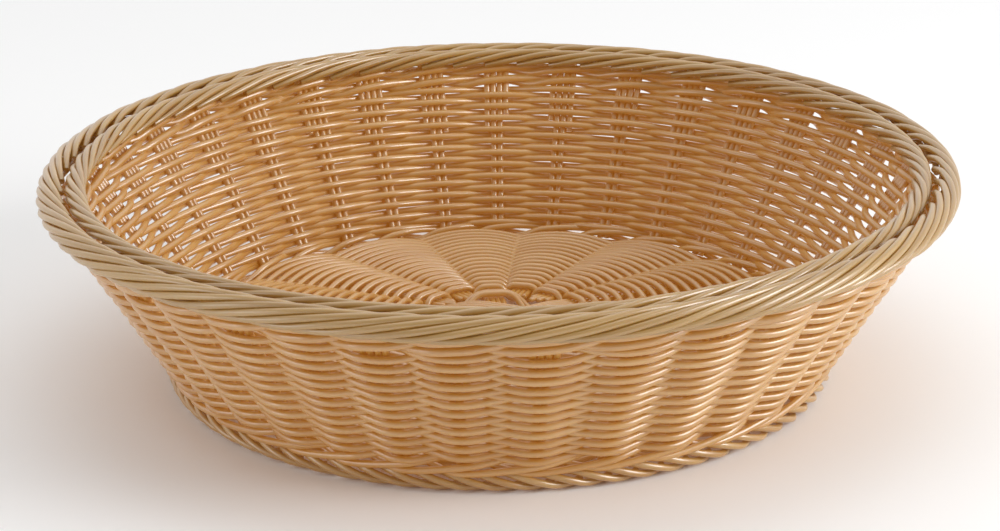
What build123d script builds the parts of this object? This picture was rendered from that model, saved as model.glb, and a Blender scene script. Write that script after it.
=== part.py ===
from build123d import *
import math
import os

os.makedirs("parts", exist_ok=True)

# Round bread basket, woven from plastic cane strands.
# Millimetres, +Z up, standing on the plane z = 0, centred on the Z axis.

# Side wall: the stakes stand in a cone, leaning outwards
wall_radius_at_floor = 136.3    # middle of the wall, carried down to z = 0
wall_slope = 0.607              # outward run for each millimetre of rise
lean = math.atan(wall_slope)
column_count = 36               # stakes stand in pairs, one pair a column
first_column = 7.5              # angle of the first column, degrees
column_step = 360.0 / column_count

# Columns are not quite evenly spaced: (angle, shift) in degrees, round the wall
column_shifts = (
    (0, 0.6), (50, 1.0), (90, 2.8), (160, 2.3), (205, 0.2),
    (247, -2.3), (267, -3.5), (292, -0.2), (320, 1.2), (360, 0.6),
)

# Strand diameters
stake_d = 2.9
weaver_d = 2.8
base_weaver_d = 2.75
spoke_d = 2.15
foot_border_d = 2.9
outer_border_d = 2.8
inner_border_d = 2.5
join_gap = 0.6                  # between two ends that face each other

# Stakes and bye-stakes
stake_gap = 3.15                # between the middles of two stakes side by side
stake_foot_z = 11.8
stake_top_z = 86.3
bye_stake_top_z = 85.8
bye_stake_low_z = (60.5, 57.0)  # the cut lower ends are not level
stake_clear = 0.25

# Side weave: plain over-one, under-one rows
side_rows = 23
side_first_z = 19.2
side_row_step = 2.5
side_lengths = (8, 10, 8, 10)   # columns woven by each length of a row
join_turn = 10                  # columns from one row's joins on to the next's
side_out = (stake_d + weaver_d) / 2 + stake_clear
wide_out = side_out + 0.35      # where four stakes stand side by side
outside_lift = 0.35             # outside a row rides this much higher, inside lower

# Pairing under the rim: two strands that twist round each other
pairing_rows = 2
pairing_first_z = 77.9
pairing_step = 5.05
pairing_lift = 1.7

# Three-strand wale that closes the foot of the wall
wale_strands = 3
wale_z = 14.0
wale_lift = 2.95

# Base: eighteen groups of four spokes, domed upwards
group_count = 18
group_step = 360.0 / group_count
first_group = 16.0
spokes_in_group = 4
base_edge_r = 138.0
base_edge_z = 10.2              # middle of the mat at its edge
base_rise = 8.8                 # how far the middle stands above the edge
crown_r = 45.0                  # inside this radius the base rises further
crown_rise = 5.0
spoke_end_r = 139.2
spoke_gap_inner = 2.3
spoke_gap_outer = 5.0
fan_start_r = 40.0
base_first_r = 39.5
base_row_step = 3.1
base_rows = 33
base_out = (spoke_d + base_weaver_d) / 2 + 0.5

# Middle of the base: three bundles that cross, one over the other
arm_turn = 60.0
first_arm = first_group + group_step
layer_gap = spoke_d + 0.3
cross_r = 13.0                  # the three layers lie flat inside this radius
level_r = 30.0                  # and are level with each other beyond this one
binder_radii = (20.5, 23.6)
binder_over_reach = 8.2         # half the length lying on top of a bundle
binder_under_reach = 6.2

# Rim border and foot border
border_count = 72


def polar(angle, radius, height, side=0.0):
    """Point at an angle, radius and height, moved sideways by side."""
    a = math.radians(angle)
    x = radius * math.cos(a) - side * math.sin(a)
    y = radius * math.sin(a) + side * math.cos(a)
    return (x, y, height)


def on_wall(angle, height, side=0.0, out=0.0, along=0.0):
    """Point near the wall's middle: out is square to the wall, along is up it."""
    radius = wall_radius_at_floor + wall_slope * height
    radius += out * math.cos(lean) + along * math.sin(lean)
    z = height - out * math.sin(lean) + along * math.cos(lean)
    return polar(angle, radius, z, side)


def column_angle(column):
    """Angle of a column, counted from the first; in between with a fraction."""
    even_angle = first_column + column_step * column
    turns, place = divmod(even_angle, 360.0)
    for (low, low_shift), (high, high_shift) in zip(column_shifts, column_shifts[1:]):
        if place <= high:
            share = (place - low) / (high - low)
            return even_angle + low_shift + (high_shift - low_shift) * share
    return even_angle


def base_height(radius):
    """Middle height of the domed base at a radius."""
    height = base_edge_z + base_rise * (1.0 - (radius / base_edge_r) ** 2)
    if radius < crown_r:
        height += crown_rise * (1.0 - (radius / crown_r) ** 2) ** 2
    return height


def base_fall(radius):
    """How steeply the base falls at a radius."""
    fall = 2.0 * base_rise * radius / base_edge_r ** 2
    if radius < crown_r:
        share = radius / crown_r
        fall += 4.0 * crown_rise * share / crown_r * (1.0 - share ** 2)
    return fall


def on_base(angle, radius, side=0.0, up=0.0):
    """Point near the base's middle surface: up is square to the dome."""
    true_radius = math.hypot(radius, side)
    fall = base_fall(true_radius)
    size = math.hypot(fall, 1.0)
    z = base_height(true_radius) + up / size
    return polar(angle, radius + up * fall / size, z, side)


def corner_radii(points, closed):
    """Largest tangent arc that suits each corner of a run of points."""
    count = len(points)
    corners = range(count) if closed else range(1, count - 1)
    radii = []
    for i in corners:
        here = Vector(*points[i])
        before = here - Vector(*points[i - 1])
        after = Vector(*points[(i + 1) % count]) - here
        half_turn = math.radians(before.get_angle(after)) / 2
        shorter = min(before.length, after.length)
        radii.append(min(0.45 * shorter / math.tan(half_turn), 120.0))
    return radii


def strand(points, diameter, closed=False):
    """Round strand along straight runs joined by tangent arcs."""
    if len(points) == 2:
        path = Wire([Edge.make_line(Vector(*points[0]), Vector(*points[1]))])
    else:
        radii = corner_radii(points, closed)
        path = Wire(FilletPolyline(*points, radius=radii, close=closed).edges())
    section = Plane(origin=path @ 0, z_dir=path % 0) * Circle(diameter / 2)
    solid = sweep(section, path=path).solid()
    wanted = path.length * math.pi * diameter ** 2 / 4
    if not solid.is_valid or abs(solid.volume / wanted - 1.0) > 0.002:
        raise ValueError(f"strand of {path.length:.0f} mm did not sweep cleanly")
    return solid


def facing_ends(before, after):
    """Two ends that face each other in the middle of a straight run."""
    before, after = Vector(*before), Vector(*after)
    middle = (before + after) / 2
    step = (after - before).normalized() * join_gap / 2
    return tuple(middle - step), tuple(middle + step)


def open_ring(points):
    """Cut a ring in the middle of its first run."""
    end, start = facing_ends(points[0], points[1])
    return [start] + points[1:] + points[:1] + [end]


def lengths_of_ring(points, columns_in_each):
    """Cut a ring that has two points in each column into several lengths."""
    ring = points + points[:2]
    lengths = []
    first = 0
    for columns in columns_in_each:
        last = first + 2 * columns
        start = facing_ends(ring[first], ring[first + 1])[1]
        end = facing_ends(ring[last], ring[last + 1])[0]
        lengths.append([start] + ring[first + 1:last + 1] + [end])
        first = last
    return lengths


def turned(solid, count, step, start=0.0):
    """Copies of a solid turned about the Z axis."""
    return [Rot(0, 0, start + step * i) * solid for i in range(count)]


# ---------------------------------------------------------------- point runs

def stake_points(side, low_z, top_z):
    """Straight stake up the wall in column zero."""
    return [on_wall(0, low_z, side), on_wall(0, top_z, side)]


def side_row_lengths(row):
    """One row: inside one column, outside the next, with its joins inside."""
    z = side_first_z + side_row_step * row
    radius = wall_radius_at_floor + wall_slope * z
    wide = z > min(bye_stake_low_z) - 2.0
    half_flat = 7.5 if wide else 3.6
    reach = wide_out if wide else side_out
    swing = math.degrees(half_flat / radius)
    first_k = (row + 1) % 2 + join_turn * row % column_count
    points = []
    for k in range(first_k, first_k + column_count):
        angle = column_angle(k)
        side = 1 if (k + row) % 2 == 0 else -1
        for turn in (-swing, swing):
            points.append(on_wall(angle + turn, z, 0, side * reach, side * outside_lift))
    return lengths_of_ring(points, side_lengths)


def pairing_points(row, strand_index):
    """One strand of a twisted pair: out, over the crossing, in, under it."""
    z = pairing_first_z + pairing_step * row
    swing = 2.1
    start = 1 - strand_index
    points = []
    for k in range(start, start + column_count):
        angle = column_angle(k)
        sign = 1 if (k + strand_index) % 2 == 0 else -1
        out = sign * wide_out
        lift = sign * pairing_lift
        points.append(on_wall(angle - swing, z, 0, out, -0.35 * lift))
        points.append(on_wall(angle + swing, z, 0, out, 0.35 * lift))
        points.append(on_wall(column_angle(k + 0.5), z, 0, 0, lift))
    return open_ring(points)


def wale_points(strand_index):
    """One wale strand: inside one column, then outside the next two, rising."""
    half = 0.145
    outside_stops = ((0.5, 0), (1 - half, 1), (1 + half, 1), (1.5, 1),
                     (2 - half, 1), (2 + half, 1), (2.5, 0))
    points = []
    for k in range(strand_index, strand_index + column_count, wale_strands):
        for shift in (-half, half):
            along = -2.0 * wale_lift * shift
            points.append(on_wall(column_angle(k + shift), wale_z, 0, -side_out, along))
        for shift, outside in outside_stops:
            along = wale_lift * (shift - 1.5)
            points.append(on_wall(column_angle(k + shift), wale_z, 0, outside * side_out, along))
    return open_ring(points)


def spoke_spacing(radius):
    """Distance between neighbouring spokes of one group."""
    share = (radius - fan_start_r) / (base_edge_r - fan_start_r)
    share = min(max(share, 0.0), 1.0)
    return spoke_gap_inner + (spoke_gap_outer - spoke_gap_inner) * share


def spoke_side(index, radius):
    """Sideways place of a spoke in its group."""
    return (index - (spokes_in_group - 1) / 2) * spoke_spacing(radius)


def base_row_points(row):
    """One base row: over one group of spokes, under the next."""
    radius = base_first_r + base_row_step * row
    pitch = math.radians(group_step) * radius
    half_flat = min(pitch / 2 - 1.65, 1.5 * spoke_spacing(radius) + 2.6)
    swing = math.degrees(half_flat / radius)
    points = []
    for k in range(group_count):
        angle = first_group + group_step * k
        up = base_out if (k + row) % 2 == 0 else -base_out
        points.append(on_base(angle - swing, radius, 0, up))
        points.append(on_base(angle + swing, radius, 0, up))
    return points


def outer_spoke_stops():
    """Radii at which the points of a spoke are set, out to its end."""
    return (fan_start_r, 64.0, 88.0, 113.0, spoke_end_r)


def inserted_spoke_points(index, start_r):
    """Spoke that starts beside the middle bundles."""
    points = [on_base(0, start_r, spoke_side(index, start_r))]
    for r in outer_spoke_stops():
        points.append(on_base(0, r, spoke_side(index, r)))
    return points


def arm_layer(arm):
    """Layer of the bundle an arm belongs to: -1 bottom, 0 middle, 1 top."""
    return arm % 3 - 1


def arm_lift(arm, radius):
    """Height of an arm's spokes above the base's middle surface."""
    share = (level_r - radius) / (level_r - cross_r)
    return arm_layer(arm) * layer_gap * min(max(share, 0.0), 1.0)


def through_spoke_points(index, arm):
    """Spoke that crosses the middle and runs out along two arms."""
    points = [on_base(0, cross_r, spoke_side(index, cross_r), arm_lift(arm, cross_r))]
    points.append(on_base(0, level_r, spoke_side(index, level_r)))
    for r in outer_spoke_stops():
        points.append(on_base(0, r, spoke_side(index, r)))
    mirrored = [(-x, y, z) for x, y, z in points]
    return mirrored[::-1] + points


def binder_points(radius):
    """Binding round the middle: over one arm of the bundles, under the next."""
    points = []
    for k in range(1, 7):
        angle = first_arm + arm_turn * k
        over = k % 2 == 1
        reach = binder_over_reach if over else binder_under_reach
        swing = math.degrees(reach / radius)
        sign = 1 if over else -1
        up = arm_lift(k, radius) + sign * (base_out + 0.5)
        points.append(on_base(angle - swing, radius, 0, up))
        points.append(on_base(angle + swing, radius, 0, up))
    return open_ring(points)


def inserted_start(group, index):
    """Uneven cut ends of the spokes that start beside the middle."""
    nearest = 26.3 if index in (1, 2) else 30.3
    return nearest + 0.9 * ((3 * group + 5 * index) % 4)


def section_run(stops, start_angle):
    """Points from (turn in degrees, radius, height) stops."""
    points = []
    angle = start_angle
    for turn, radius, height in stops:
        angle += turn
        points.append(polar(angle, radius, height))
    return points


# Rim border: each strand rises over the outside of the rim and dives into
# the groove on top; a second set comes out of the groove and goes down inside
outer_border_stops = (
    (0.0, 191.9, 86.9),
    (5.8, 195.0, 84.6),
    (4.6, 197.9, 85.6),
    (4.2, 199.0, 88.2),
    (4.9, 198.1, 91.3),
    (5.4, 195.2, 93.4),
    (5.3, 191.7, 92.9),
    (3.0, 189.6, 90.0),
)
inner_border_stops = (
    (0.0, 186.2, 89.4),
    (4.0, 186.4, 91.9),
    (4.1, 184.3, 93.4),
    (4.8, 181.4, 92.6),
    (4.7, 179.6, 90.2),
    (4.0, 179.9, 87.7),
)

# Foot border: each strand leaves the wall, slants down to the right and turns
# in under the edge
foot_strand_stops = (
    (0.0, 141.8, 8.3),
    (2.2, 145.0, 7.9),
    (3.2, 146.1, 5.3),
    (3.2, 144.4, 2.5),
    (3.0, 140.6, 1.45),
    (2.0, 136.8, 1.45),
)


# ---------------------------------------------------------------- solids

def save(name, solids):
    """Write one node, all its strands together."""
    export_step(Compound(children=solids, label=name), f"parts/{name}.step")
    print(f"{name}: {len(solids)} solids")


def fan(points_of, diameter, steps):
    """One solid per (setting, list of turns): made once, then turned."""
    solids = []
    for setting, turns in steps:
        first = strand(points_of(setting), diameter)
        for turn in turns:
            solids.append(Rot(0, 0, turn) * first)
    return solids


columns = [column_angle(k) for k in range(column_count)]
even = columns[0::2]
odd = columns[1::2]

# Base: three crossing bundles, the spokes set between them, binding, weave
for arm, name in ((0, "base_bundle_lower"), (1, "base_bundle_middle"), (2, "base_bundle_upper")):
    turn = first_arm + arm_turn * arm
    bundle = []
    for index in range(spokes_in_group):
        bundle.append(Rot(0, 0, turn) * strand(through_spoke_points(index, arm), spoke_d))
    save(name, bundle)

spokes = []
for group in range(group_count):
    if group % 3 != 1:
        for index in range(spokes_in_group):
            points = inserted_spoke_points(index, inserted_start(group, index))
            spokes.append(Rot(0, 0, first_group + group_step * group) * strand(points, spoke_d))
save("base_spokes", spokes)

binders = [strand(binder_points(r), base_weaver_d) for r in binder_radii]
save("base_binder", binders)

base_weave = [strand(base_row_points(row), base_weaver_d, True) for row in range(base_rows)]
save("base_weave", base_weave)

# Foot: border strands that turn in under the edge, and the wale above them
first = strand(section_run(foot_strand_stops, 0), foot_border_d)
save("foot_border", turned(first, border_count, 360.0 / border_count))

wale = [strand(wale_points(index), weaver_d) for index in range(wale_strands)]
save("foot_wale", wale)

# Side: a pair of stakes in each column, bye-stakes beside them near the top
stakes = fan(lambda side: stake_points(side, stake_foot_z, stake_top_z), stake_d,
             [(-0.5 * stake_gap, columns), (0.5 * stake_gap, columns)])
save("side_stakes", stakes)

high, low = bye_stake_low_z
bye_stakes = []
for side, low_z, turns in ((-1.5, high, even), (-1.5, low, odd), (1.5, low, even), (1.5, high, odd)):
    first = strand(stake_points(side * stake_gap, low_z, bye_stake_top_z), stake_d)
    bye_stakes += [Rot(0, 0, turn) * first for turn in turns]
save("bye_stakes", bye_stakes)

side_weave = []
for row in range(side_rows):
    side_weave += [strand(points, weaver_d) for points in side_row_lengths(row)]
save("side_weave", side_weave)

for row, name in ((0, "pairing_lower"), (1, "pairing_upper")):
    pair = [strand(pairing_points(row, index), weaver_d) for index in (0, 1)]
    save(name, pair)

# Rim: outside set and inside set, with the groove between them
first = strand(section_run(outer_border_stops, 0), outer_border_d)
save("rim_border_outer", turned(first, border_count, 360.0 / border_count))

first = strand(section_run(inner_border_stops, 0), inner_border_d)
save("rim_border_inner", turned(first, border_count, 360.0 / border_count))
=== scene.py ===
import bpy
import math
import numpy as np
from mathutils import Matrix, Vector


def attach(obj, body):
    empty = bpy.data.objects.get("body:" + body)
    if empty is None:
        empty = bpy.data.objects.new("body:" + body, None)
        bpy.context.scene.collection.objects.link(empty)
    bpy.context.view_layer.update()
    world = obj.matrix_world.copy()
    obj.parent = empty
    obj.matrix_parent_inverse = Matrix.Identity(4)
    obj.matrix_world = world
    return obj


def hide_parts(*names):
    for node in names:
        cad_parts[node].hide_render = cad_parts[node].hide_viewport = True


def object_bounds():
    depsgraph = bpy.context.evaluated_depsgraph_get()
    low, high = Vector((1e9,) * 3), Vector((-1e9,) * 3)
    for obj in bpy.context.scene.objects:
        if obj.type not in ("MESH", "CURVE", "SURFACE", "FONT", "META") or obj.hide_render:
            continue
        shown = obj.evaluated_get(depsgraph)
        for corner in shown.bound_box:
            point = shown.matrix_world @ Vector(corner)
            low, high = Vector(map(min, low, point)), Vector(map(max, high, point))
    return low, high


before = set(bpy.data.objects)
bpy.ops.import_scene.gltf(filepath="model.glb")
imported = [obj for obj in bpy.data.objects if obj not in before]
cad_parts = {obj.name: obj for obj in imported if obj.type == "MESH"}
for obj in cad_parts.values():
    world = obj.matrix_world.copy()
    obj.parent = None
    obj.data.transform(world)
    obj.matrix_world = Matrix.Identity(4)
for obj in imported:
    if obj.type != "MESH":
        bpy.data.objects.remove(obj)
cadLow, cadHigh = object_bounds()
chance = np.random.default_rng(36)    # every random step of the script comes from here
mm = 0.001

rimRadius = cadHigh.x
rimTop = cadHigh.z
print("frame loaded: rim radius %.4f m, height %.4f m" % (rimRadius, rimTop))


# the side is a cone: its middle line, and the columns of stakes in it
wall = {
    "columns": 36,
    "firstColumn": 7.5,          # degrees
    "floorRadius": rimRadius - 63.7 * mm,
    "slope": 0.607,              # outwards for each unit up
    # the columns are not quite evenly spaced: (angle, shift) in degrees
    "shifts": ((0, 0.6), (50, 1.0), (90, 2.8), (160, 2.3), (205, 0.2),
               (247, -2.3), (267, -3.5), (292, -0.2), (320, 1.2), (360, 0.6)),
}
columnStep = 360.0 / wall["columns"]
lean = math.atan(wall["slope"])

# the base is a shallow dome of eighteen groups of spokes
dome = {
    "groups": 18,
    "firstGroup": 16.0,
    "edgeRadius": 138.0 * mm,
    "edgeHeight": 11.4 * mm,
    "rise": 7.6 * mm,
    "crownRadius": 45.0 * mm,    # inside this the base rises further
    "crownRise": 5.0 * mm,
    "gapMiddle": 2.3 * mm,       # between spokes, near the middle
    "gapEdge": 5.0 * mm,
    "fanStart": 40.0 * mm,
}
groupStep = 360.0 / dome["groups"]


def polar(angle, radius, height, side=0.0):
    a = math.radians(angle)
    x = radius * math.cos(a) - side * math.sin(a)
    y = radius * math.sin(a) + side * math.cos(a)
    return (x, y, height)


def onWall(angle, height, side=0.0, out=0.0, along=0.0):
    radius = wall["floorRadius"] + wall["slope"] * height
    radius += out * math.cos(lean) + along * math.sin(lean)
    return polar(angle, radius, height - out * math.sin(lean) + along * math.cos(lean), side)


# k counts columns from the first; a fraction lands between two of them
def columnAngle(k):
    angle = wall["firstColumn"] + columnStep * k
    places, shifts = zip(*wall["shifts"])
    return angle + float(np.interp(angle % 360.0, places, shifts))


def onDome(angle, radius, side=0.0, up=0.0):
    trueRadius = math.hypot(radius, side)
    fall = 2.0 * dome["rise"] * trueRadius / dome["edgeRadius"] ** 2
    height = dome["edgeHeight"] + dome["rise"] * (1.0 - (trueRadius / dome["edgeRadius"]) ** 2)
    share = trueRadius / dome["crownRadius"]
    if share < 1.0:
        height += dome["crownRise"] * (1.0 - share ** 2) ** 2
        fall += 4.0 * dome["crownRise"] * share / dome["crownRadius"] * (1.0 - share ** 2)
    size = math.hypot(fall, 1.0)
    return polar(angle, radius + up * fall / size, height + up / size, side)


def spokeGap(radius):
    share = (radius - dome["fanStart"]) / (dome["edgeRadius"] - dome["fanStart"])
    return dome["gapMiddle"] + (dome["gapEdge"] - dome["gapMiddle"]) * min(max(share, 0.0), 1.0)


def turned(points, angle):
    a = math.radians(angle)
    spin = np.array([[math.cos(a), math.sin(a), 0], [-math.sin(a), math.cos(a), 0], [0, 0, 1]])
    return np.asarray(points, float) @ spin


widestWobble = 2.2               # in units of the usual one


def wobble(amount):
    most = widestWobble * amount
    return float(np.clip(chance.normal(0.0, amount), -most, most))


# rounds the corners of a run of points
def smoothRun(points, closed=False, share=0.46, steps=6):
    pts = np.asarray(points, float)
    toBefore = np.roll(pts, 1, axis=0) - pts
    toAfter = np.roll(pts, -1, axis=0) - pts
    lenBefore = np.linalg.norm(toBefore, axis=1)
    lenAfter = np.linalg.norm(toAfter, axis=1)
    cut = share * np.minimum(lenBefore, lenAfter)
    enter = pts + toBefore * (cut / lenBefore)[:, None]
    leave = pts + toAfter * (cut / lenAfter)[:, None]
    t = np.linspace(0.0, 1.0, steps)[None, :, None]
    bent = (1 - t) ** 2 * enter[:, None]
    bent = bent + 2 * t * (1 - t) * pts[:, None]
    bent = bent + t ** 2 * leave[:, None]
    if closed:
        return bent.reshape(-1, 3)
    return np.vstack([pts[:1], bent[1:-1].reshape(-1, 3), pts[-1:]])


strand = {
    "sides": 12,
    "samePoint": 1e-6,            # points of a line that lie closer than this become one
    "cut": 0.35 * mm,             # rounding of a cut end
    "edgeShare": 0.3,             # how much of the rounding the end face itself takes
    "clearShare": 1.5,            # points of the line this near an end give way to the rounding
    "layReach": 5.0,              # metres that the streaks of one strand may start further on
}


# collects the strands of one piece, then becomes one mesh
class Bunch:
    def __init__(self):
        self.verts, self.faces, self.lay, self.tone, self.count = [], [], [], [], 0

    def add(self, line, thickness, closed=False, cut=strand["cut"]):
        sides = strand["sides"]
        line = np.asarray(line, float)
        gaps = np.linalg.norm(np.diff(line, axis=0), axis=1)
        keep = np.concatenate([[True], gaps > strand["samePoint"]])
        line = line[keep]
        radius = np.full(len(line), thickness / 2)
        if not closed:
            line, radius = self.withEnds(line, thickness / 2, cut)
        ahead = np.roll(line, -1, axis=0) - np.roll(line, 1, axis=0)
        if not closed:
            ahead[0], ahead[-1] = line[1] - line[0], line[-1] - line[-2]
        ahead /= np.linalg.norm(ahead, axis=1)[:, None]
        level = np.cross(ahead, (0.0, 0.0, 1.0))
        level /= np.linalg.norm(level, axis=1)[:, None]
        upright = np.cross(level, ahead)
        turn = np.arange(sides) * 2 * math.pi / sides
        ring = np.cos(turn)[None, :, None] * level[:, None]
        ring = ring + np.sin(turn)[None, :, None] * upright[:, None]
        verts = line[:, None] + ring * radius[:, None, None]
        start = self.count
        rows = len(line)
        steps = np.linalg.norm(np.diff(line, axis=0), axis=1)
        length = np.concatenate([[0.0], np.cumsum(steps)])
        offset = chance.uniform(0.0, strand["layReach"])
        lay = np.zeros((rows, sides, 3))
        lay[..., 0] = np.cos(turn)[None]
        lay[..., 1] = np.sin(turn)[None]
        lay[..., 2] = (length + offset)[:, None]
        self.verts.append(verts.reshape(-1, 3))
        self.lay.append(lay.reshape(-1, 3))
        i = np.arange(rows if closed else rows - 1)[:, None] * sides
        j = np.arange(sides)[None]
        after = (i + sides) % (rows * sides)
        beside = (j + 1) % sides
        quads = np.stack([i + j, i + beside, after + beside, after + j], axis=-1)
        self.faces.extend((quads.reshape(-1, 4) + start).tolist())
        total = rows * sides
        if not closed:
            self.verts.append(line[[0, -1]])
            self.lay.append(np.array([[0, 0, offset], [0, 0, offset + length[-1]]]))
            first, last = start + total, start + total + 1
            lastRing = start + (rows - 1) * sides
            for k in range(sides):
                self.faces.append((first, start + (k + 1) % sides, start + k))
                self.faces.append((last, lastRing + k, lastRing + (k + 1) % sides))
            total += 2
        self.tone.append(np.full(total, chance.uniform(0.0, 1.0)))
        self.count += total

    # a cut end with its edge slightly rounded
    def withEnds(self, line, radius, cut):
        def nearEnd(path):
            direction = path[1] - path[0]
            direction /= np.linalg.norm(direction)
            edge = strand["edgeShare"] * cut
            return path[0], path[0] + edge * direction, path[0] + cut * direction
        a0, a1, a2 = nearEnd(line)
        b0, b1, b2 = nearEnd(line[::-1])
        inner = line[1:-1]
        clear = strand["clearShare"] * cut
        fromFirst = np.linalg.norm(inner - a0, axis=1)
        fromLast = np.linalg.norm(inner - b0, axis=1)
        far = (fromFirst > clear) & (fromLast > clear)
        whole = np.vstack([[a0, a1, a2], inner[far], [b2, b1, b0]])
        radii = np.full(len(whole), radius)
        radii[[0, -1]] = radius - cut
        radii[[1, -2]] = radius - strand["edgeShare"] * cut
        return whole, radii

    def piece(self, name, finish, slot, *nodes):
        mesh = bpy.data.meshes.new(name)
        mesh.from_pydata(np.vstack(self.verts).tolist(), [], self.faces)
        mesh.polygons.foreach_set("use_smooth", [True] * len(mesh.polygons))
        lay = mesh.attributes.new("lay", "FLOAT_VECTOR", "POINT")
        lay.data.foreach_set("vector", np.vstack(self.lay).astype(np.float32).ravel())
        tone = mesh.attributes.new("tone", "FLOAT", "POINT")
        tone.data.foreach_set("value", np.concatenate(self.tone).astype(np.float32))
        mesh.materials.append(finish)
        mesh.update()
        obj = bpy.data.objects.new(name, mesh)
        bpy.context.scene.collection.objects.link(obj)
        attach(obj, "root")
        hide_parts(*nodes)
        print("%s: %d vertices" % (name, len(mesh.vertices)))


def caneFinish(name, look):
    mat = bpy.data.materials.new(name)
    mat.use_nodes = True
    tree = mat.node_tree
    nodes, links = tree.nodes, tree.links
    shader = nodes["Principled BSDF"]

    lay = nodes.new("ShaderNodeAttribute")
    lay.attribute_name = "lay"
    tone = nodes.new("ShaderNodeAttribute")
    tone.attribute_name = "tone"
    place = nodes.new("ShaderNodeTexCoord")

    # fine lines drawn along the strand as it was extruded
    stretch = nodes.new("ShaderNodeMapping")
    stretch.inputs["Scale"].default_value = (1.0, 1.0, look["streakStretch"])
    links.new(lay.outputs["Vector"], stretch.inputs["Vector"])
    streaks = nodes.new("ShaderNodeTexNoise")
    streaks.inputs["Scale"].default_value = look["streakScale"]
    streaks.inputs["Detail"].default_value = look["streakDetail"]
    links.new(stretch.outputs["Vector"], streaks.inputs["Vector"])

    # slow drift of colour over the basket, and one step from strand to strand
    drift = nodes.new("ShaderNodeTexNoise")
    drift.inputs["Scale"].default_value = look["driftScale"]
    drift.inputs["Detail"].default_value = look["driftDetail"]
    links.new(place.outputs["Object"], drift.inputs["Vector"])
    blend = nodes.new("ShaderNodeMath")
    blend.operation = "MULTIPLY_ADD"
    blend.inputs[1].default_value = look["toneShare"]
    links.new(tone.outputs["Fac"], blend.inputs[0])
    part = nodes.new("ShaderNodeMath")
    part.operation = "MULTIPLY"
    part.inputs[1].default_value = look["driftShare"]
    links.new(drift.outputs["Fac"], part.inputs[0])
    links.new(part.outputs[0], blend.inputs[2])
    shades = nodes.new("ShaderNodeValToRGB")
    first, last = shades.color_ramp.elements
    first.position, last.position = look["shadeRange"]
    first.color = (*look["deep"], 1.0)
    last.color = (*look["pale"], 1.0)
    links.new(blend.outputs[0], shades.inputs["Fac"])
    links.new(shades.outputs["Color"], shader.inputs["Base Color"])

    rough = nodes.new("ShaderNodeMapRange")
    rough.inputs["To Min"].default_value = look["roughness"] - look["roughSpread"]
    rough.inputs["To Max"].default_value = look["roughness"] + look["roughSpread"]
    links.new(streaks.outputs["Fac"], rough.inputs["Value"])
    links.new(rough.outputs["Result"], shader.inputs["Roughness"])

    bump = nodes.new("ShaderNodeBump")
    bump.inputs["Strength"].default_value = look["streakDepth"]
    bump.inputs["Distance"].default_value = look["streakHeight"]
    links.new(streaks.outputs["Fac"], bump.inputs["Height"])
    links.new(bump.outputs["Normal"], shader.inputs["Normal"])

    shader.inputs["IOR"].default_value = look["ior"]
    shader.inputs["Specular IOR Level"].default_value = look["gloss"]
    shader.inputs["Coat Weight"].default_value = look["coat"]
    shader.inputs["Coat Roughness"].default_value = look["coatRoughness"]
    # painted glow: an even orange emission on every strand, standing in for light that passes
    # through the cane
    shader.inputs["Emission Color"].default_value = (*look["paintedGlowColour"], 1.0)
    shader.inputs["Emission Strength"].default_value = look["paintedGlow"]
    shader.inputs["Subsurface Weight"].default_value = look["glow"]
    shader.inputs["Subsurface Radius"].default_value = look["glowRadius"]
    shader.inputs["Subsurface Scale"].default_value = look["glowScale"]
    return mat


caneLook = {
    "deep": (0.390, 0.210, 0.042),
    "pale": (0.462, 0.284, 0.088),
    "shadeRange": (0.25, 0.75),   # where deep ends and pale begins
    "toneShare": 0.45,            # of the shade, from strand to strand
    "driftShare": 0.55,           # of the shade, from place to place
    "driftScale": 9.0,
    "driftDetail": 2.0,
    "streakScale": 3.0,
    "streakStretch": 60.0,
    "streakDetail": 3.0,
    "streakDepth": 0.25,
    "streakHeight": 0.00012,      # metres
    "roughness": 0.32,
    "roughSpread": 0.06,
    "ior": 1.60,
    "gloss": 1.0,
    "coat": 0.7,
    "coatRoughness": 0.38,
    "glow": 0.22,
    "glowRadius": (1.0, 0.42, 0.12),
    "glowScale": 0.003,           # metres
    "paintedGlow": 0.155,               # painted glow: an even orange emission on every strand, in place of light that comes through the strands in the hollows
    "paintedGlowColour": (0.74, 0.235, 0.010),
}
# the borders are more olive and lie in the open, so less light comes through them: their
# painted glow is weaker
borderLook = dict(caneLook, deep=(0.318, 0.180, 0.033), pale=(0.402, 0.244, 0.058), paintedGlow=0.055)
# the foot gets a weaker painted glow
footLook = dict(caneLook, paintedGlow=0.06)

sideFinish = caneFinish("sideCane", caneLook)
stakeFinish = caneFinish("stakeCane", caneLook)
baseFinish = caneFinish("baseCane", caneLook)
borderFinish = caneFinish("borderCane", borderLook)
footFinish = caneFinish("footCane", footLook)


baseSpokes = {
    "thickness": 2.2 * mm,
    "inGroup": 4,
    "stops": (40.0, 64.0, 88.0, 113.0, 139.2),   # mm from the middle
    "starts": (30.3, 26.3, 26.3, 30.3),          # the same, for the four set-in spokes
    "startStep": 0.9,
    "cut": 0.6 * mm,
    "bundleTurn": 36.0,           # degrees, first of the three bundles
    "bundleStep": 60.0,
    "layerGap": 2.45 * mm,
    "crossRadius": 13.0 * mm,
    "levelRadius": 30.0 * mm,
}


def spokeSide(index, radius):
    return (index - (baseSpokes["inGroup"] - 1) / 2) * spokeGap(radius)


def bundleLift(arm, radius):
    spread = baseSpokes["levelRadius"] - baseSpokes["crossRadius"]
    share = (baseSpokes["levelRadius"] - radius) / spread
    return (arm % 3 - 1) * baseSpokes["layerGap"] * min(max(share, 0.0), 1.0)


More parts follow.
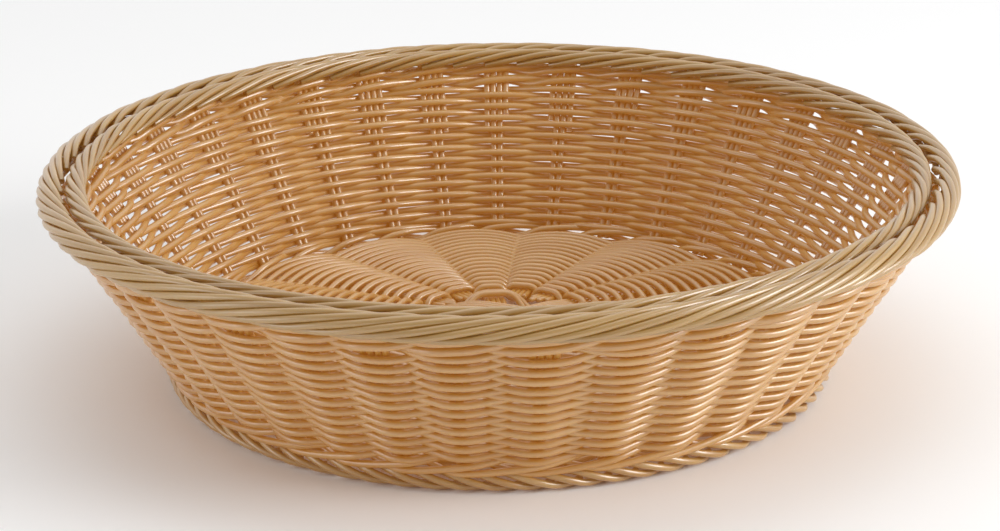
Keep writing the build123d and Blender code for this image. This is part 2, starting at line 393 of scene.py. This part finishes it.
def makeBundles():
    names = ("baseBundleLower", "baseBundleMiddle", "baseBundleUpper")
    nodes = ("base_bundle_lower", "base_bundle_middle", "base_bundle_upper")
    for arm in range(3):
        bunch = Bunch()
        for index in range(baseSpokes["inGroup"]):
            half = []
            for r in (baseSpokes["crossRadius"], baseSpokes["levelRadius"]):
                half.append(onDome(0, r, spokeSide(index, r), bundleLift(arm, r)))
            for stop in baseSpokes["stops"]:
                half.append(onDome(0, stop * mm, spokeSide(index, stop * mm)))
            points = [(-x, y, z) for x, y, z in half][::-1] + half
            turn = baseSpokes["bundleTurn"] + baseSpokes["bundleStep"] * arm
            bunch.add(smoothRun(turned(points, turn)), baseSpokes["thickness"])
        bunch.piece(names[arm], baseFinish, "base_cane", nodes[arm])


def makeSpokes():
    bunch = Bunch()
    for group in range(dome["groups"]):
        if group % 3 == 1:
            continue              # here a bundle runs out
        for index in range(baseSpokes["inGroup"]):
            further = baseSpokes["startStep"] * ((3 * group + 5 * index) % 4)
            start = (baseSpokes["starts"][index] + further) * mm
            points = [onDome(0, start, spokeSide(index, start))]
            for stop in baseSpokes["stops"]:
                points.append(onDome(0, stop * mm, spokeSide(index, stop * mm)))
            line = smoothRun(turned(points, dome["firstGroup"] + groupStep * group))
            bunch.add(line, baseSpokes["thickness"], cut=baseSpokes["cut"])
    bunch.piece("baseSpokes", baseFinish, "base_cane", "base_spokes")


baseWeave = {
    "rows": 33,
    "firstRadius": 39.5 * mm,
    "step": 3.1 * mm,
    "thickness": 2.9 * mm,
    "out": 2.9 * mm,              # from the middle of the spokes
    "overhang": 2.6 * mm,         # how far a row lies flat past the outer spokes of a group
    "slant": 1.65 * mm,           # the least room that it has to change sides, each way
    "uneven": 0.10 * mm,
}


def makeBaseWeave():
    bunch = Bunch()
    for row in range(baseWeave["rows"]):
        radius = baseWeave["firstRadius"] + baseWeave["step"] * row
        pitch = math.radians(groupStep) * radius
        widest = spokeSide(baseSpokes["inGroup"] - 1, radius) + baseWeave["overhang"]
        swing = math.degrees(min(pitch / 2 - baseWeave["slant"], widest) / radius)
        points = []
        for k in range(dome["groups"]):
            angle = dome["firstGroup"] + groupStep * k
            up = baseWeave["out"] if (k + row) % 2 == 0 else -baseWeave["out"]
            here = radius + wobble(baseWeave["uneven"])
            points.append(onDome(angle - swing, here, 0, up))
            points.append(onDome(angle + swing, here, 0, up))
        bunch.add(smoothRun(points, True), baseWeave["thickness"], True)
    bunch.piece("baseWeave", baseFinish, "base_cane", "base_weave")


baseBinder = {
    "radii": (20.5 * mm, 23.6 * mm),
    "thickness": 2.85 * mm,
    "arms": 6,
    "firstArm": 2,                # where its ends meet
    "overReach": 8.2 * mm,        # half the length that lies on top of a bundle
    "underReach": 6.2 * mm,
    "lift": 3.45 * mm,
    "gap": 0.6 * mm,
}


# cuts a ring in the middle of its first run, so that its two ends face each other
def openRing(points, gap):
    first, second = np.array(points[0]), np.array(points[1])
    middle = (first + second) / 2
    step = (second - first) / np.linalg.norm(second - first) * gap / 2
    return [middle + step] + points[1:] + points[:1] + [middle - step]


def makeBinder():
    bunch = Bunch()
    for radius in baseBinder["radii"]:
        points = []
        for k in range(baseBinder["firstArm"], baseBinder["firstArm"] + baseBinder["arms"]):
            angle = baseSpokes["bundleTurn"] + baseSpokes["bundleStep"] * k
            over = k % 2 == 1
            swing = math.degrees(baseBinder["overReach" if over else "underReach"] / radius)
            sign = 1 if over else -1
            up = bundleLift(k, radius) + sign * baseBinder["lift"]
            points.append(onDome(angle - swing, radius, 0, up))
            points.append(onDome(angle + swing, radius, 0, up))
        bunch.add(smoothRun(openRing(points, baseBinder["gap"])), baseBinder["thickness"])
    bunch.piece("baseBinder", baseFinish, "base_cane", "base_binder")


makeBundles()
makeSpokes()
makeBaseWeave()
makeBinder()
print("base done")


foot = {
    "strands": 72,
    "thickness": 2.95 * mm,
    # degrees on, mm from the middle, mm up
    "stops": ((0.0, 141.8, 8.3), (2.2, 145.0, 7.9), (3.2, 146.1, 5.3),
              (3.2, 144.4, 2.5), (3.0, 140.6, 1.5), (2.0, 136.8, 1.5)),
    "uneven": 0.12 * mm,
    "unevenTurn": 0.048,          # degrees
}


def makeFoot():
    bunch = Bunch()
    for i in range(foot["strands"]):
        points = []
        angle = 360.0 / foot["strands"] * i
        for turn, radius, height in foot["stops"]:
            angle += turn
            aside = wobble(foot["uneven"])
            onward = wobble(foot["unevenTurn"])
            above = abs(wobble(foot["uneven"]))
            points.append(polar(angle + onward, radius * mm + aside, height * mm + above))
        bunch.add(smoothRun(points), foot["thickness"])
    bunch.piece("footBorder", footFinish, "border_cane", "foot_border")


wale = {
    "strands": 3,
    "height": 13.0 * mm,
    "thickness": 3.1 * mm,
    "out": 3.1 * mm,
    "lift": 2.95 * mm,
    # columns on, how far outside, lifts up the wall
    "stops": ((-0.20, -1, 0.45), (0.20, -1, 0.05), (0.5, 0, -0.9),
              (0.855, 1, -1.0), (1.145, 1, -0.9), (1.5, 1, -0.45),
              (1.855, 1, 0.15), (2.145, 1, 0.80), (2.5, 0, 0.80)),
    "gap": 0.6 * mm,
    "uneven": 0.10 * mm,
}


# three strands, each inside one column and then outside the next two as it rises
def makeWale():
    bunch = Bunch()
    for which in range(wale["strands"]):
        points = []
        for k in range(which, which + wall["columns"], wale["strands"]):
            drift = wobble(wale["uneven"])
            for shift, outside, lifts in wale["stops"]:
                out = outside * wale["out"]
                along = drift + wale["lift"] * lifts
                points.append(onWall(columnAngle(k + shift), wale["height"], 0, out, along))
        bunch.add(smoothRun(openRing(points, wale["gap"])), wale["thickness"])
    bunch.piece("footWale", sideFinish, "side_cane", "foot_wale")


makeWale()
makeFoot()
print("foot done")


stakes = {
    "thickness": 3.08 * mm,
    "gap": 3.15 * mm,
    "footHeight": 11.8 * mm,
    "topHeight": 86.3 * mm,
    "byeTop": 85.8 * mm,
    "byeLow": (60.5 * mm, 57.0 * mm),    # one of each in every column
    "byeUneven": 1.2 * mm,        # of their lower ends
    "bends": 5,
    "uneven": 0.10 * mm,
}


def stakeLine(angle, side, low, top):
    points = []
    for height in np.linspace(low, top, stakes["bends"]):
        aside = side + wobble(stakes["uneven"])
        points.append(onWall(angle, height, aside, wobble(stakes["uneven"])))
    return smoothRun(points)


def makeStakes():
    pairs, byes = Bunch(), Bunch()
    for k in range(wall["columns"]):
        angle = columnAngle(k)
        for gaps in (-0.5, 0.5):
            side = gaps * stakes["gap"]
            line = stakeLine(angle, side, stakes["footHeight"], stakes["topHeight"])
            pairs.add(line, stakes["thickness"])
        for gaps, turn in ((-1.5, k), (1.5, k + 1)):
            side = gaps * stakes["gap"]
            low = stakes["byeLow"][turn % 2] + wobble(stakes["byeUneven"])
            byes.add(stakeLine(angle, side, low, stakes["byeTop"]), stakes["thickness"])
    pairs.piece("sideStakes", stakeFinish, "stake_cane", "side_stakes")
    byes.piece("byeStakes", stakeFinish, "stake_cane", "bye_stakes")


sideWeave = {
    "rows": 24,
    "firstHeight": 16.2 * mm,
    "step": 2.522 * mm,
    "thickness": 3.2 * mm,
    "out": 3.1 * mm,
    "flat": 3.6 * mm,             # half the length that lies flat on a column
    "wideFrom": 55.0 * mm,        # above this, four stakes stand side by side
    "wideOut": 3.45 * mm,
    "wideFlat": 7.5 * mm,
    "outsideLift": 0.65 * mm,     # a row rides higher outside than inside
    "uneven": 0.13 * mm,
}


def makeSideWeave():
    bunch = Bunch()
    for row in range(sideWeave["rows"]):
        height = sideWeave["firstHeight"] + sideWeave["step"] * row
        radius = wall["floorRadius"] + wall["slope"] * height
        wide = height > sideWeave["wideFrom"]
        swing = math.degrees(sideWeave["wideFlat" if wide else "flat"] / radius)
        reach = sideWeave["wideOut" if wide else "out"]
        points = []
        for k in range(wall["columns"]):
            angle = columnAngle(k)
            sign = 1 if (k + row) % 2 == 1 else -1
            along = wobble(sideWeave["uneven"]) + sign * sideWeave["outsideLift"]
            points.append(onWall(angle - swing, height, 0, sign * reach, along))
            points.append(onWall(angle + swing, height, 0, sign * reach, along))
        bunch.add(smoothRun(points, True), sideWeave["thickness"], True)
    bunch.piece("sideWeave", sideFinish, "side_cane", "side_weave")


pairing = {
    # height, and how much higher it rides outside
    "rounds": (("pairingLower", "pairing_lower", 77.5 * mm, 2.2 * mm),
               ("pairingUpper", "pairing_upper", 82.4 * mm, 2.0 * mm)),
    "thickness": 3.8 * mm,
    "out": 3.45 * mm,
    "lift": 1.8 * mm,             # where the two strands cross
    "leanShare": 0.35,            # of the lift, at the two ends of the flat stretch
    "swing": 2.1,                 # degrees
    "gap": 0.6 * mm,
    "uneven": 0.12 * mm,
}


def makePairing():
    for name, node, height, outsideLift in pairing["rounds"]:
        bunch = Bunch()
        for which in (0, 1):
            start = 1 - which
            points = []
            for k in range(start, start + wall["columns"]):
                angle = columnAngle(k)
                sign = 1 if (k + which) % 2 == 0 else -1
                out = sign * pairing["out"]
                lift = sign * pairing["lift"]
                slope = pairing["leanShare"] * lift
                along = wobble(pairing["uneven"]) + max(sign, 0) * outsideLift
                points.append(onWall(angle - pairing["swing"], height, 0, out, along - slope))
                points.append(onWall(angle + pairing["swing"], height, 0, out, along + slope))
                points.append(onWall(columnAngle(k + 0.5), height, 0, 0, lift))
            bunch.add(smoothRun(openRing(points, pairing["gap"])), pairing["thickness"])
        bunch.piece(name, sideFinish, "side_cane", node)


makeStakes()
makeSideWeave()
makePairing()
print("side done")


rim = {
    "strands": 72,
    "outerThickness": 3.0 * mm,
    "innerThickness": 2.85 * mm,
    # degrees on, mm from the middle, mm up
    "outerStops": ((0.0, 191.9, 86.9), (5.8, 195.0, 84.9), (4.6, 197.9, 85.9),
                   (4.2, 198.9, 88.6), (4.9, 198.0, 91.4), (5.4, 195.2, 93.3),
                   (5.3, 191.7, 92.8), (3.0, 189.6, 90.0)),
    "innerStops": ((0.0, 186.2, 89.4), (4.0, 186.4, 91.9), (4.1, 184.3, 93.3),
                   (4.8, 181.4, 92.6), (4.7, 179.8, 89.8), (4.3, 181.4, 86.7)),
    "cornerSteps": 8,
    "uneven": 0.28 * mm,
}


def makeRim():
    for name, node, stops, thickness in (
        ("rimOuter", "rim_border_outer", rim["outerStops"], rim["outerThickness"]),
        ("rimInner", "rim_border_inner", rim["innerStops"], rim["innerThickness"]),
    ):
        bunch = Bunch()
        for i in range(rim["strands"]):
            points = []
            angle = 360.0 / rim["strands"] * i
            for turn, radius, height in stops:
                angle += turn
                inwards = abs(wobble(rim["uneven"]))
                down = abs(wobble(rim["uneven"]))
                points.append(polar(angle, radius * mm - inwards, height * mm - down))
            bunch.add(smoothRun(points, steps=rim["cornerSteps"]), thickness)
        bunch.piece(name, borderFinish, "border_cane", node)


makeRim()
print("rim done")


studio = {
    "floorRadius": 4.0,
    "floorSides": 64,
    "floorColour": (0.96, 0.96, 0.96),
    "floorRoughness": 0.9,
    "floorGloss": 0.1,
    "frontStrength": 0.33,
    "backStrength": 1.05,
    "aim": (0.0, 0.0, 0.05),      # what the lamps point at
    # place, power, size
    "lamps": (("keyLamp", (1.85, -0.55, 0.85), 28.0, 1.0),
              ("fillLamp", (-1.8, -0.9, 0.55), 6.0, 1.0),
              ("topLamp", (0.0, 0.3, 1.9), 5.0, 1.6)),
}


def makeFloor():
    mesh = bpy.data.meshes.new("floor")
    turn = np.arange(studio["floorSides"]) * 2 * math.pi / studio["floorSides"]
    reach = studio["floorRadius"]
    verts = [(reach * math.cos(t), reach * math.sin(t), 0.0) for t in turn]
    mesh.from_pydata(verts, [], [list(range(studio["floorSides"]))])
    floor = bpy.data.objects.new("floor", mesh)
    bpy.context.scene.collection.objects.link(floor)
    mat = bpy.data.materials.new("floorPaint")
    mat.use_nodes = True
    shader = mat.node_tree.nodes["Principled BSDF"]
    shader.inputs["Base Color"].default_value = (*studio["floorColour"], 1.0)
    shader.inputs["Roughness"].default_value = studio["floorRoughness"]
    shader.inputs["Specular IOR Level"].default_value = studio["floorGloss"]
    mesh.materials.append(mat)


def areaLamp(name, place, power, size):
    data = bpy.data.lights.new(name, "AREA")
    data.energy = power
    data.size = size
    lamp = bpy.data.objects.new(name, data)
    lamp.location = place
    direction = Vector(studio["aim"]) - Vector(place)
    lamp.rotation_euler = direction.to_track_quat("-Z", "Y").to_euler()
    bpy.context.scene.collection.objects.link(lamp)


def makeLight():
    world = bpy.data.worlds.new("studio")
    bpy.context.scene.world = world
    world.use_nodes = True
    nodes, links = world.node_tree.nodes, world.node_tree.links
    white = (1.0, 1.0, 1.0, 1.0)
    # the room is bright behind the basket and dim on the viewer's side
    room = nodes["Background"]
    room.inputs["Color"].default_value = white
    place = nodes.new("ShaderNodeTexCoord")
    apart = nodes.new("ShaderNodeSeparateXYZ")
    links.new(place.outputs["Generated"], apart.inputs[0])
    fade = nodes.new("ShaderNodeMapRange")
    fade.inputs["From Min"].default_value = -1.0
    fade.inputs["From Max"].default_value = 1.0
    fade.inputs["To Min"].default_value = studio["frontStrength"]
    fade.inputs["To Max"].default_value = studio["backStrength"]
    links.new(apart.outputs["Y"], fade.inputs["Value"])
    links.new(fade.outputs["Result"], room.inputs["Strength"])
    # what the camera itself sees is plain white
    backdrop = nodes.new("ShaderNodeBackground")
    backdrop.inputs["Color"].default_value = white
    backdrop.inputs["Strength"].default_value = 1.0
    rays = nodes.new("ShaderNodeLightPath")
    both = nodes.new("ShaderNodeMixShader")
    links.new(rays.outputs["Is Camera Ray"], both.inputs["Fac"])
    links.new(room.outputs[0], both.inputs[1])
    links.new(backdrop.outputs[0], both.inputs[2])
    links.new(both.outputs[0], nodes["World Output"].inputs["Surface"])
    for lamp in studio["lamps"]:
        areaLamp(*lamp)


camera = {
    "distance": 1.2872,
    "elevation": 19.5,            # degrees
    "lens": 105.03,
    "sensor": 36.0,
    "roll": -0.60,                # degrees
    "shift": (0.0007, -0.0037),
    "clip": (0.01, 50.0),
}


def makeCamera():
    data = bpy.data.cameras.new("camera")
    data.lens = camera["lens"]
    data.sensor_width = camera["sensor"]
    data.shift_x, data.shift_y = camera["shift"]
    data.clip_start, data.clip_end = camera["clip"]
    obj = bpy.data.objects.new("camera", data)
    e = math.radians(camera["elevation"])
    back = camera["distance"] * math.cos(e)
    up = camera["distance"] * math.sin(e)
    obj.location = (0.0, -back, rimTop / 2 + up)
    obj.rotation_mode = "XYZ"
    base = Matrix.Rotation(math.pi / 2 - e, 4, "X")
    spin = Matrix.Rotation(math.radians(camera["roll"]), 4, "Z")
    obj.rotation_euler = (base @ spin).to_euler()
    bpy.context.scene.collection.objects.link(obj)
    bpy.context.scene.camera = obj


makeFloor()
makeLight()
makeCamera()
bpy.context.scene.view_settings.view_transform = "Standard"
print("studio done")

bpy.context.view_layer.update()
